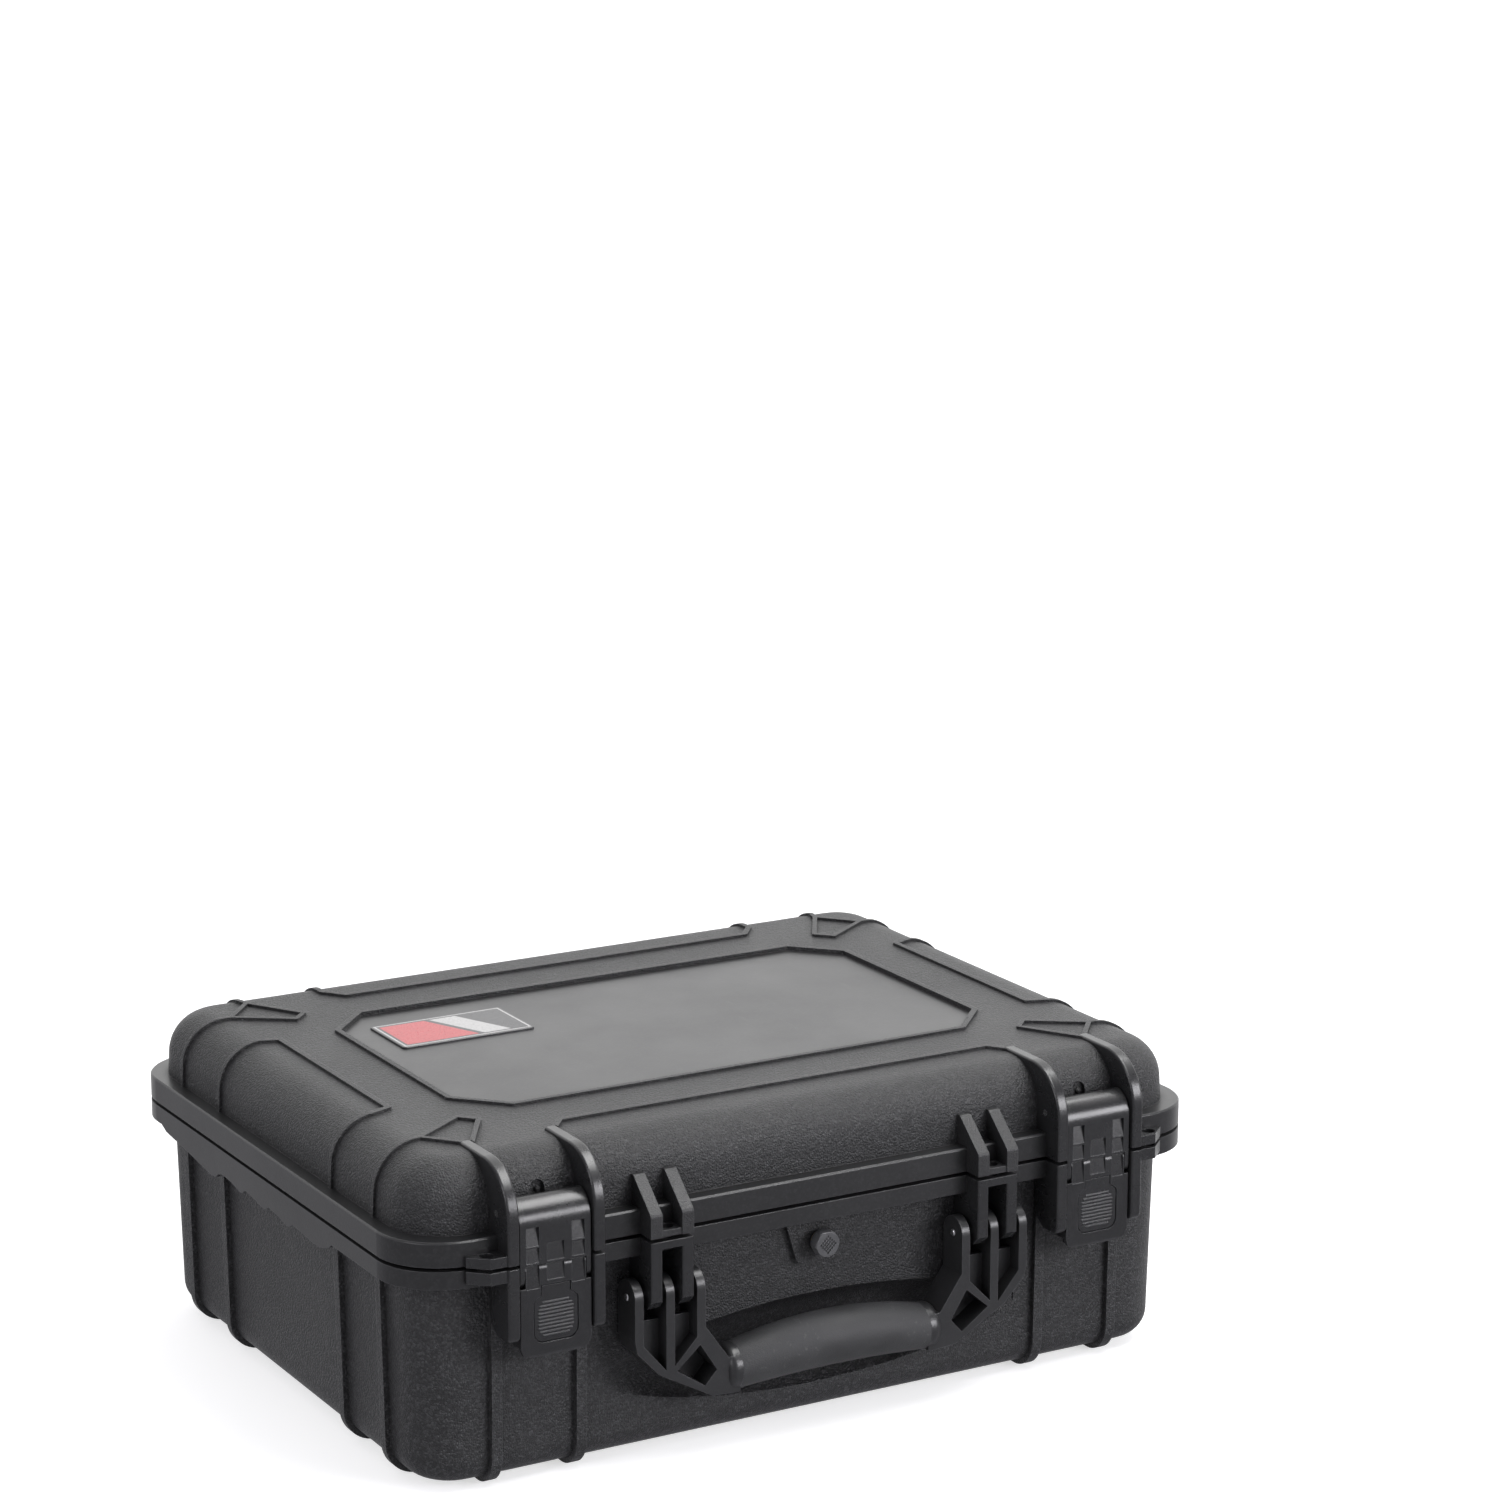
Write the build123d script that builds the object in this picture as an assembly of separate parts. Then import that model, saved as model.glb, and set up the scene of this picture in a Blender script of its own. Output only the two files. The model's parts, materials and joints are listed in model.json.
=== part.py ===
from build123d import *
import os
from math import atan2, cos, degrees, pi, sin, sqrt

# Hard equipment case, lid shut, latches shut, handle hanging. Millimetres, +Z up, +X to the right
# along the front, the front faces -Y. Origin: on the ground, at the middle of the case.

# ---------------------------------------------------------------- driving dimensions
case_width = 468.0        # outside of the sealing flange, along X
case_depth = 354.5        # outside of the sealing flange, along Y
flange_radius = 35.0      # corner radius of the flange outline
foot_height = 3.0         # the wrap-round ribs stand this far proud of wall and floor
seam_height = 121.25      # top of the base flange
seam_gap = 2.0            # open gap between base flange and lid flange
lid_height = 46.95        # lid flange bottom to the flat of the lid top
wall = 3.2                # moulded wall thickness
base_flange_thick = 9.25
lid_flange_thick = 12.75
base_inset_top = 11.5     # flange edge to base wall, under the flange
base_inset_bottom = 13.5  # the same at the floor, so the wall has draft
base_edge_round = 14.5
base_corner_radius = 27.0
lid_inset_low = 8.5       # flange edge to lid wall, on top of the flange
lid_inset_high = 10.0
lid_edge_round = 23.0
lid_corner_radius = 30.0

line_width = 3.2          # raised border lines of the lid
line_height = 1.5
panel_inset_x = 75.6      # flange edge to the octagon panel
panel_inset_y = 84.0
panel_cut_x = 23.9
panel_cut_y = 25.2
panel_recess = 0.8
scoop_inset = 42.0        # flange edge to the straight line of a side scoop
scoop_half = 70.6         # half length of a side scoop
front_scoop_inset = 49.5
frame_line_width = 2.6    # thinner lines of the corner frames
side_rib_outer = 54.2     # flange end to the outer side ribs
side_rib_inner = 73.3     # middle to the inner side ribs
rib_width = 5.6
foot_reach = 40.0         # how far a rib runs in under the floor from the flange edge

apron_thick = 2.5         # scalloped apron under each side flange
apron_notch = 4.1         # its depth below the flange at a notch
apron_tip = 6.7           # its depth at the tips between them
apron_step = 30.4
apron_notches = 4
apron_back_notch = 51.0   # middle of the case to the rearmost notch
apron_back_tip = 8.7
apron_back_reach = 84.0   # rearmost notch to where the apron runs out
apron_front_reach = 48.0  # foremost notch to where it ends

tongue_inset = 8.0        # flange edge to the sealing tongue
tongue_width = 3.0
groove_side_gap = 1.1     # tongue to groove walls
groove_depth = 6.0
gasket_height = 3.2
gasket_gap = 0.4          # tongue top to gasket

front_reach = 11.3        # guards, posts and lugs stand this far out from the flange
latch_inset = 74.9        # flange end to the middle of a latch
channel_width = 40.4      # between the two guards of a latch
guard_thick = 6.4
guard_low = 83.0          # lowest point of a base guard
guard_end_round = 4.5      # lower end of a base guard
guard_crest_radius = 27.0
guard_start = 41.0        # flange edge to where a lid guard begins on the lid top
lug_reach = 18.0          # padlock lug, out from the outer guard
lug_thick_base = 6.25
lug_thick_lid = 5.25
padlock_hole_r = 3.6

latch_to_post = 63.6      # middle of a latch to the middle of the handle post beside it
leg_half_gap = 5.5        # middle of a post to the inner face of a leg
leg_thick = 6.6
post_cap_thick = 4.0
post_tab_thick = 3.4
pivot_drop = 29.75        # seam to handle pivot
pivot_inset = 0.2         # flange edge to handle pivot
handle_pin_r = 2.0
running_gap = 0.05        # radial clearance of every pin in its moving hole
prong_half = 9.0          # half depth of the handle frame
prong_thick = 4.8
prong_gap = 3.0           # leg to the outer prongs
grip_drop = 47.0          # pivot to grip axis
grip_radius_end = 12.2
grip_radius_mid = 14.3
grip_arch = 4.5           # the grip bows up in the middle
core_radius = 6.5
post_to_grip = 40.0       # middle of a post to the end of the grip

latch_side_gap = 0.9      # latch to guard
latch_thick = 2.6
latch_pin_r = 1.8
latch_pin_height = 23.45  # lid flange bottom to latch pivot
latch_roll_radius = 6.4
latch_bend_drop = 6.0     # latch pivot to where its face turns flat
link_pin_r = 1.6
link_pin_drop = 5.35      # lid flange bottom down to the link pin
link_barrel_r = 3.8       # round top of the lever
lever_length = 44.9       # link pin to the lowest point of the lever
lever_shoulder = 8.5      # link pin to where the lever takes its full width
link_seam = 0.35          # link plate to the lever's barrel
latch_face = 9.2          # face of the latch, out from the flange
latch_cheek = 2.4         # side walls of link and lever
behind_latch_gap = 0.6    # flange to the back of the latch
hinge_sweep_gap = 0.7     # back of the closed lever to the flange edge as the lid swings up
tongue_pin_r = 1.2
tongue_pin_drop = 10.5    # link pin to the pin of the thumb tongue
tongue_barrel_r = 2.4
tongue_gap = 0.45
spring_radius = 2.0       # of the coil round the tongue's pin
spring_wire_r = 0.4
spring_pitch = 1.2
spring_turns = 3
recess_radius = 3.8       # recess in the lid wall above the latch
recess_rise = 6.4         # latch pivot to the recess's middle
recess_depth = 3.4
pad_width = 23.6
pad_height = 24.0
pad_corner = 5.0
cell_half = 3.5           # half width of the recesses in the latch face
cell_offset = 12.4

hinge_radius = 6.4
hinge_rod_r = 2.4
hinge_cells = 13
hinge_half = 150.0        # half length of the knuckle row
knuckle_gap = 0.6
rod_only_cells = (2, 10)  # cells of the row where only the rod and its collars show

valve_drop = 22.65        # seam to valve axis
valve_hex = 13.0          # across flats
valve_cap_length = 6.5
valve_stem_r = 3.2
valve_bore_r = 1.6        # bore of the insert that the cap's stem turns in
valve_nut_r = 6.2         # corner radius of the nut
boss_proud = 2.6
boss_half_top = 20.0
boss_half_low = 12.5
boss_drop = 11.0          # valve axis to the boss's lower edge

badge_width = 77.5
badge_depth = 43.8
badge_thick = 1.0
badge_x = 132.6           # flange end to the badge's middle
badge_from_line = 47.25   # rear panel line to the badge's middle

foam_floor_thick = 12.0
foam_gap = 0.8            # foam to wall
foam_top_gap = 2.5        # base foam to the seam
lid_foam_thick = 26.0
lid_foam_gap = 1.0

finger_scoop_radius = 27.0
finger_scoop_end = 7.2    # the scoop is this much slimmer at the handle's posts

# ---------------------------------------------------------------- places worked out from them
half_w = case_width / 2
half_d = case_depth / 2
lid_low = seam_height + seam_gap
lid_top = lid_low + lid_height
front_face = -half_d - front_reach
latch_x = half_w - latch_inset
post_x = latch_x - latch_to_post
guard_in = latch_x - channel_width / 2 - guard_thick / 2
guard_out = latch_x + channel_width / 2 + guard_thick / 2
pivot_y = -half_d + pivot_inset
pivot_z = seam_height - pivot_drop
grip_y = pivot_y
grip_z = pivot_z - grip_drop
grip_half = post_x - post_to_grip
front_extent = -grip_y + grip_radius_mid
hinge_y = front_extent - hinge_radius
hinge_z = seam_height + seam_gap / 2
latch_pin_y = -half_d + 1.4
latch_pin_z = lid_low + latch_pin_height
face_y = -half_d - latch_face
link_pin_y = face_y + link_barrel_r
link_pin_z = lid_low - link_pin_drop
lever_low = link_pin_z - lever_length
latch_half = channel_width / 2 - latch_side_gap
tongue_pin_z = link_pin_z - tongue_pin_drop
tongue_pin_y = face_y + 4.6
pad_top = tongue_pin_z - 2.4
pad_low = pad_top - pad_height
valve_z = seam_height - valve_drop
lug_x = guard_out + guard_thick / 2 + 8.4
lug_y = -half_d - 4.4
tongue_height = seam_gap + groove_depth - gasket_height - gasket_gap
parts = {}


def save(name, shape):
    """Keep one sub-part under its node name."""
    parts[name] = shape


def both_sides(shape):
    """The shape and its mirror image on the other side of the case."""
    return shape + mirror(shape, Plane.YZ)


def block(x0, x1, y0, y1, z0, z1):
    """A box given by its corners."""
    solid = Box(x1 - x0, y1 - y0, z1 - z0, align=(Align.MIN, Align.MIN, Align.MIN))
    return Pos(x0, y0, z0) * solid


def plate(inset, radius, z0, z1):
    """A rounded rectangle of the flange outline, moved in by inset."""
    outline = RectangleRounded(case_width - 2 * inset, case_depth - 2 * inset, radius)
    return extrude(Pos(0, 0, z0) * outline, z1 - z0)


def tub(inset_low, inset_high, radius, z0, z1, edge, round_top):
    """A drafted body between two rounded rectangles, with one end rounded over."""
    low = RectangleRounded(case_width - 2 * inset_low, case_depth - 2 * inset_low, radius)
    high = RectangleRounded(case_width - 2 * inset_high, case_depth - 2 * inset_high, radius)
    body = loft([Pos(0, 0, z0) * low, Pos(0, 0, z1) * high])
    end = body.faces().sort_by(Axis.Z)[-1 if round_top else 0]
    return fillet(end.edges(), edge)


def profile_x(points, x0, x1):
    """A side profile of (y, z) points, extruded along X from x0 to x1."""
    outline = make_face(Polyline([(x0, y, z) for y, z in points], close=True))
    return extrude(outline, amount=x1 - x0, dir=(1, 0, 0))


def rod_x(y, z, radius, x0, x1):
    """A round rod along X."""
    solid = Cylinder(radius, x1 - x0, align=(Align.CENTER, Align.CENTER, Align.MIN))
    return Pos(x0, y, z) * Rot(0, 90, 0) * solid


def rod_z(x, y, radius, z0, z1):
    """A round rod along Z."""
    return Pos(x, y, z0) * Cylinder(radius, z1 - z0, align=(Align.CENTER, Align.CENTER, Align.MIN))


def rod_y(x, z, radius, y0, y1):
    """A round rod along Y."""
    solid = Cylinder(radius, y1 - y0, align=(Align.CENTER, Align.CENTER, Align.MIN))
    return Pos(x, y0, z) * Rot(-90, 0, 0) * solid


def front_prism(points, y0, y1):
    """An outline of (x, z) points seen from the front, extruded from y0 to y1."""
    outline = make_face(Polyline([(x, y0, z) for x, z in points], close=True))
    return extrude(outline, amount=y1 - y0, dir=(0, 1, 0))


def plan_prism(points, z0, z1):
    """An outline of (x, y) points seen from above, extruded from z0 to z1."""
    outline = make_face(Polyline([(x, y, z0) for x, y in points], close=True))
    return extrude(outline, amount=z1 - z0, dir=(0, 0, 1))


def line_band(points, width, z0, z1, close=False):
    """A band of the given width along a line of (x, y) points, extruded in Z."""
    band = None
    pairs = list(zip(points, points[1:] + points[:1]))
    for (xa, ya), (xb, yb) in pairs if close else pairs[:-1]:
        length = sqrt((xb - xa) ** 2 + (yb - ya) ** 2)
        strip = Rectangle(length, width) + Pos(length / 2, 0) * Circle(width / 2)
        strip += Pos(-length / 2, 0) * Circle(width / 2)
        strip = Pos((xa + xb) / 2, (ya + yb) / 2, z0) * Rot(0, 0, degrees(atan2(yb - ya, xb - xa))) * strip
        solid = extrude(strip, z1 - z0)
        band = solid if band is None else band + solid
    return band


def finger_scoop(extra):
    """The barrel that hollows the front wall behind the grip, grown by extra."""
    mid = finger_scoop_radius + extra
    end = mid - finger_scoop_end
    reach = post_x - 11.5
    tip = reach * 1.45
    # the slimming follows one arc through the middle and both post stations
    sag_radius = (reach ** 2 + finger_scoop_end ** 2) / (2 * finger_scoop_end)
    tip_radius = mid - (sag_radius - sqrt(sag_radius ** 2 - tip ** 2))
    arc = ThreePointArc((-tip, tip_radius), (0, mid), (tip, tip_radius))
    side = Polyline([(tip, tip_radius), (tip, 0), (-tip, 0), (-tip, tip_radius)])
    barrel = revolve(make_face(arc + side), Axis.X)
    return Pos(0, grip_y + 1.5, grip_z) * barrel


# ---------------------------------------------------------------- base shell
def base_shell():
    outer = tub(base_inset_bottom, base_inset_top, base_corner_radius,
                foot_height, seam_height - base_flange_thick + 1, base_edge_round, False)
    proud = tub(base_inset_bottom - foot_height, base_inset_top - foot_height,
                base_corner_radius + foot_height, 0, seam_height - base_flange_thick + 1,
                base_edge_round + foot_height, False)
    for side in (-1, 1):
        for y in (half_d - side_rib_outer, side_rib_inner):
            for end in (-1, 1):
                edge = sorted((side * (half_w - foot_reach), side * half_w))
                slab = block(edge[0], edge[1], end * y - rib_width / 2, end * y + rib_width / 2,
                             0, seam_height - base_flange_thick)
                outer += proud & slab
        for x in (guard_in, guard_out):
            for end in (-1, 1):
                edge = sorted((end * (half_d - foot_reach), end * half_d))
                slab = block(side * x - rib_width / 2, side * x + rib_width / 2, edge[0], edge[1],
                             0, seam_height - base_flange_thick)
                outer += proud & slab
    flange = plate(0, flange_radius, seam_height - base_flange_thick, seam_height)
    tongue = plate(tongue_inset, flange_radius - tongue_inset, seam_height - 1, seam_height + tongue_height)
    tongue -= plate(tongue_inset + tongue_width, flange_radius - tongue_inset - tongue_width,
                    seam_height - 2, seam_height + tongue_height + 1)
    shell = outer - finger_scoop(0) + flange + tongue
    hollow = tub(base_inset_bottom + wall, base_inset_top + wall, base_corner_radius - wall,
                 foot_height + wall, seam_height + 1, base_edge_round - wall, False)
    shell -= hollow - finger_scoop(wall)
    shell += both_sides(side_apron())
    # raised boss round the purge valve
    boss_top = seam_height - base_flange_thick + 0.5
    boss_low = valve_z - boss_drop
    boss = front_prism([(-boss_half_top, boss_top), (boss_half_top, boss_top),
                        (boss_half_low, boss_low), (-boss_half_low, boss_low)],
                       -half_d + base_inset_top - boss_proud, -half_d + base_inset_top + wall)
    corners = boss.edges().filter_by(Axis.Y).group_by(Axis.Z)[0]
    shell += fillet(corners, 4)
    shell -= rod_y(0, valve_z, valve_stem_r, -half_d, -half_d + 40)
    return shell


def side_apron():
    """Thin scalloped wall that hangs under the right-hand flange, flush with its edge."""
    top = seam_height - base_flange_thick
    foremost = apron_back_notch - (apron_notches - 1) * apron_step
    line = [(apron_back_notch + apron_back_reach, 0), (apron_back_notch + 0.92 * apron_back_reach, 2.6),
            (apron_back_notch + 0.6 * apron_back_reach, apron_notch + 0.7),
            (apron_back_notch + 27, apron_back_tip - 1.3), (apron_back_notch + 15, apron_back_tip),
            (apron_back_notch + 9, apron_back_tip - 0.8), (apron_back_notch + 5.5, apron_notch + 1.4)]
    for i in range(apron_notches):
        notch = apron_back_notch - i * apron_step
        line += [(notch, apron_notch), (notch - 5, apron_notch + 0.1), (notch - 12, apron_notch + 0.7)]
        if i < apron_notches - 1:
            line += [(notch - 19, apron_tip - 0.8), (notch - 24, apron_tip), (notch - 27, apron_tip - 0.6)]
    line += [(foremost - 22, apron_notch + 1.4), (foremost - 30, apron_notch + 1.8),
             (foremost - 39, apron_notch + 0.4), (foremost - apron_front_reach + 1.5, 1.6),
             (foremost - apron_front_reach, 0)]
    points = [(y, top - z) for y, z in line]
    points += [(line[-1][0], top + 1), (line[0][0], top + 1)]
    return profile_x(points, half_w - apron_thick, half_w)


# ---------------------------------------------------------------- base details
def base_guards():
    solids = None
    for x in (guard_in, guard_out):
        wall_y = -half_d + base_inset_top - 2
        points = [(wall_y, seam_height), (wall_y, guard_low + 6), (-half_d, guard_low), (front_face, guard_low),
                  (front_face, seam_height)]
        rib = profile_x(points, x - guard_thick / 2, x + guard_thick / 2)
        low_edges = rib.edges().filter_by(Axis.X).group_by(Axis.Z)[0].sort_by(Axis.Y)
        rib = fillet(low_edges[0], guard_end_round)
        rib -= plate(0, flange_radius, seam_height - base_flange_thick, seam_height)
        rib -= base_front_keepout()
        rib = fillet(rib.edges().filter_by(Axis.Z).group_by(Axis.Y)[0], 1.2)
        solids = rib if solids is None else solids + rib
    return both_sides(solids)


def base_front_keepout():
    """The space that the base wall and its ribs fill, so that what is stuck on them meets them face to face."""
    body = tub(base_inset_bottom - foot_height, base_inset_top - foot_height, base_corner_radius + foot_height,
               0, seam_height - base_flange_thick + 1, base_edge_round + foot_height, False)
    plain = tub(base_inset_bottom, base_inset_top, base_corner_radius,
                foot_height, seam_height - base_flange_thick + 1, base_edge_round, False)
    strips = None
    for side in (-1, 1):
        for x in (guard_in, guard_out):
            strip = block(side * x - rib_width / 2, side * x + rib_width / 2, -half_d, -half_d + foot_reach,
                          0, seam_height - base_flange_thick)
            strips = strip if strips is None else strips + strip
    return plain + (body & strips)


def lug_plan(z0, z1):
    """One padlock lug in plan, right side, with its hole."""
    x0 = guard_out + guard_thick / 2
    x1 = x0 + lug_reach
    lug = plan_prism([(x0, front_face + 1), (x0 + 0.5 * lug_reach, front_face + 1), (x1, -half_d - 2),
                      (x1, -half_d + 6), (x0, -half_d + 6)], z0, z1)
    lug -= rod_z(lug_x, lug_y, padlock_hole_r, z0 - 1, z1 + 1)
    return lug


def base_lugs():
    lug = lug_plan(seam_height - lug_thick_base, seam_height)
    lug -= plate(0, flange_radius, seam_height - base_flange_thick, seam_height)
    return both_sides(lug)


def post_legs_x():
    """X ranges of the two legs of the right-hand post."""
    near = (post_x - leg_half_gap - leg_thick, post_x - leg_half_gap)
    far = (post_x + leg_half_gap, post_x + leg_half_gap + leg_thick)
    return near, far


def handle_posts():
    wall_y = -half_d + base_inset_bottom
    solids = None
    for x0, x1 in post_legs_x():
        low = pivot_z - 6.2
        points = [(wall_y, seam_height), (wall_y, low + 9), (pivot_y + 5, low), (front_face + 5, low),
                  (front_face, low + 5), (front_face, seam_height)]
        leg = profile_x(points, x0, x1)
        leg = fillet(leg.edges().filter_by(Axis.X).group_by(Axis.Z)[0], 2.4)
        leg = fillet(leg.edges().filter_by(Axis.Z).group_by(Axis.Y)[0], 1.0)
        solids = leg if solids is None else solids + leg
    x0 = post_x - leg_half_gap - leg_thick
    x1 = post_x + leg_half_gap + leg_thick
    solids += block(x0 + 1, x1 - 1, front_face, -half_d + 2, seam_height - post_cap_thick, seam_height)
    solids -= rod_z(post_x, lug_y, padlock_hole_r, seam_height - post_cap_thick - 1, seam_height + 1)
    solids -= rod_x(pivot_y, pivot_z, handle_pin_r, x0 - 1, x1 + 1)
    solids -= plate(0, flange_radius, seam_height - base_flange_thick, seam_height)
    solids -= tub(base_inset_bottom, base_inset_top, base_corner_radius,
                  foot_height, seam_height - base_flange_thick + 1, base_edge_round, False)
    # behind the grip the wall is hollowed, so the legs stop at the plane of the plain wall
    solids -= block(0, half_w, -half_d + base_inset_top, 0, 0, seam_height)
    return both_sides(solids)


# ---------------------------------------------------------------- hinge
def cell_range(i):
    """X range of cell i of the knuckle row."""
    step = 2 * hinge_half / hinge_cells
    return -hinge_half + i * step + knuckle_gap / 2, -hinge_half + (i + 1) * step - knuckle_gap / 2


def knuckles(lid_side):
    solids = None
    for i in range(hinge_cells):
        if (i % 2 == 1) != lid_side or i in rod_only_cells:
            continue
        x0, x1 = cell_range(i)
        knuckle = rod_x(hinge_y, hinge_z, hinge_radius, x0, x1)
        if lid_side:
            web = profile_x([(half_d, lid_low), (hinge_y, lid_low), (hinge_y, hinge_z + hinge_radius),
                             (half_d, hinge_z + hinge_radius + 3)], x0, x1)
        else:
            web = profile_x([(half_d, seam_height), (hinge_y, seam_height), (hinge_y, hinge_z - hinge_radius),
                             (half_d, hinge_z - hinge_radius - 3)], x0, x1)
        hole = hinge_rod_r + (running_gap if lid_side else 0)
        knuckle = knuckle + web - rod_x(hinge_y, hinge_z, hole, x0 - 1, x1 + 1)
        solids = knuckle if solids is None else solids + knuckle
    return solids


def hinge_collars():
    solids = None
    for i in rod_only_cells:
        x0, x1 = cell_range(i)
        for x in (x0 + 2.5, x1 - 5.0):
            ring = rod_x(hinge_y, hinge_z, hinge_rod_r + 1.8, x, x + 2.5) - \
                rod_x(hinge_y, hinge_z, hinge_rod_r, x - 1, x + 4)
            solids = ring if solids is None else solids + ring
    return solids


# ---------------------------------------------------------------- valve
def valve_parts():
    front = -half_d + base_inset_top - boss_proud
    seal_thick = 1.6
    back = front + boss_proud + wall + 6
    seal = rod_y(0, valve_z, valve_stem_r + 1.9, front - seal_thick, front) - \
        rod_y(0, valve_z, valve_stem_r, front - 5, front + 5)
    save("valve_seal", seal)
    body = rod_y(0, valve_z, valve_stem_r, front - seal_thick, back + 4)
    body += rod_y(0, valve_z, valve_stem_r + 2.4, front - seal_thick - 1.2, front - seal_thick)
    body -= rod_y(0, valve_z, valve_bore_r, front - 10, back + 6)
    save("valve_body", body)
    nut_face = -half_d + base_inset_top + wall + 2.2
    nut = Pos(0, nut_face, valve_z) * Rot(-90, 0, 0) * extrude(RegularPolygon(valve_nut_r, 6), 4)
    nut -= rod_y(0, valve_z, valve_stem_r, nut_face - 5, nut_face + 10)
    save("valve_nut", nut)
    cap_back = front - seal_thick - 1.2 - 0.35
    cap = Pos(0, cap_back - valve_cap_length, valve_z) * Rot(-90, 0, 0) * \
        extrude(RegularPolygon(valve_hex / 2, 6, major_radius=False), valve_cap_length)
    rim = Pos(0, cap_back - valve_cap_length / 2, valve_z) * Rot(-90, 0, 0) * \
        Cylinder(valve_hex * 0.545, valve_cap_length)
    cap &= chamfer(rim.edges(), 0.7)
    for turn in (45, -45):
        for i in range(-2, 3):
            slot = Box(0.7, 1.2, 7.4).moved(Location((i * 1.5, 0, 0)))
            cap -= Pos(0, cap_back - valve_cap_length, valve_z) * Rot(0, turn, 0) * slot
    cap += rod_y(0, valve_z, valve_bore_r - running_gap, cap_back - 0.01, back + 1)
    save("valve_cap", cap)


# ---------------------------------------------------------------- lid
def lid_outer(extra):
    """The lid's outside without its flange, grown by extra."""
    return tub(lid_inset_low - extra, lid_inset_high - extra, lid_corner_radius + extra,
               lid_low + lid_flange_thick - 1, lid_top + extra, lid_edge_round + extra, True)


def panel_outline(grow):
    """Octagon of the lid panel as (x, y) points."""
    a = half_w - panel_inset_x + grow
    b = half_d - panel_inset_y + grow
    cut_x, cut_y = panel_cut_x + 0.4 * grow, panel_cut_y + 0.4 * grow
    quarter = [(a, b - cut_y), (a - cut_x, b)]
    points = quarter + [(-x, y) for x, y in reversed(quarter)]
    return points + [(-x, -y) for x, y in points]


def lid_lines():
    """All raised lines of the lid in plan, as one solid of vertical bands."""
    low, high = lid_low + lid_flange_thick - 1, lid_top + 10
    bands = line_band(panel_outline(0), line_width, lid_top - 2, high, close=True)
    quarter = []
    scoop_x = half_w - scoop_inset
    side_line = [(scoop_x, 0), (scoop_x, scoop_half - 3), (scoop_x + 11, scoop_half + 1), (half_w, scoop_half + 1)]
    quarter.append((side_line, line_width))
    scoop_y = half_d - front_scoop_inset
    scoop_end = guard_in - 9.5
    quarter.append(([(0, scoop_y), (scoop_end, scoop_y), (guard_in, scoop_y + 12), (guard_in, half_d)],
                    line_width))
    frame = [(half_w - 35.5, half_d - 58.5), (half_w - 65.0, half_d - 78.5), (half_w - 73.0, half_d - 70.0),
             (guard_out - 1.8, half_d - 37.5)]
    quarter.append((frame + frame[:1], frame_line_width))
    quarter.append(([frame[0], (half_w, half_d - 54.5)], frame_line_width))
    quarter.append(([frame[3], (guard_out, half_d - 30), (guard_out, half_d)], frame_line_width))
    for points, width in quarter:
        band = line_band(points, width, low, high)
        band += mirror(band, Plane.YZ)
        bands += band + mirror(band, Plane.XZ)
    for x in (guard_in, guard_out):
        for side in (-1, 1):
            bands -= block(side * x - guard_thick / 2, side * x + guard_thick / 2, -half_d, -half_d + guard_start,
                           low - 1, high + 1)
    return bands


def lid_shell():
    outer = lid_outer(0)
    outer += lid_outer(line_height) & lid_lines()
    recess = plan_prism(panel_outline(-line_width / 2), lid_top - panel_recess, lid_top + 5)
    flange = plate(0, flange_radius, lid_low, lid_low + lid_flange_thick)
    flange = chamfer(flange.edges().group_by(Axis.Z)[-1], 0.8)
    shell = outer - recess + flange
    hollow = tub(lid_inset_low + wall + 5, lid_inset_high + wall, lid_corner_radius - wall - 2,
                 lid_low - 1, lid_top - wall, lid_edge_round - wall, True)
    shell -= hollow
    groove_out = tongue_inset - groove_side_gap
    groove_in = tongue_inset + tongue_width + groove_side_gap
    groove = plate(groove_out, flange_radius - groove_out, lid_low - 1, lid_low + groove_depth)
    groove -= plate(groove_in, flange_radius - groove_in, lid_low - 2, lid_low + groove_depth + 1)
    for x in (latch_x, -latch_x):
        shell -= pin_recess(x)
    return shell - groove


def pin_recess(x):
    """Half-round recess in the lid's wall above a latch, with a small round stud left standing in it."""
    face = -half_d + lid_inset_low
    z = latch_pin_z + recess_rise
    cut = rod_y(x, z, recess_radius, face - 3, face + recess_depth)
    cut += block(x - recess_radius, x + recess_radius, face - 3, face + recess_depth, latch_pin_z, z)
    return cut - Pos(x + 0.6, face + recess_depth, z - 1.2) * Sphere(1.7)


def lid_gasket():
    out = tongue_inset - groove_side_gap
    inner = tongue_inset + tongue_width + groove_side_gap
    top = lid_low + groove_depth
    ring = plate(out, flange_radius - out, top - gasket_height, top)
    ring -= plate(inner, flange_radius - inner, top - gasket_height - 1, top + 1)
    return fillet(ring.edges().group_by(Axis.Z)[0], 1.2)


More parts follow.
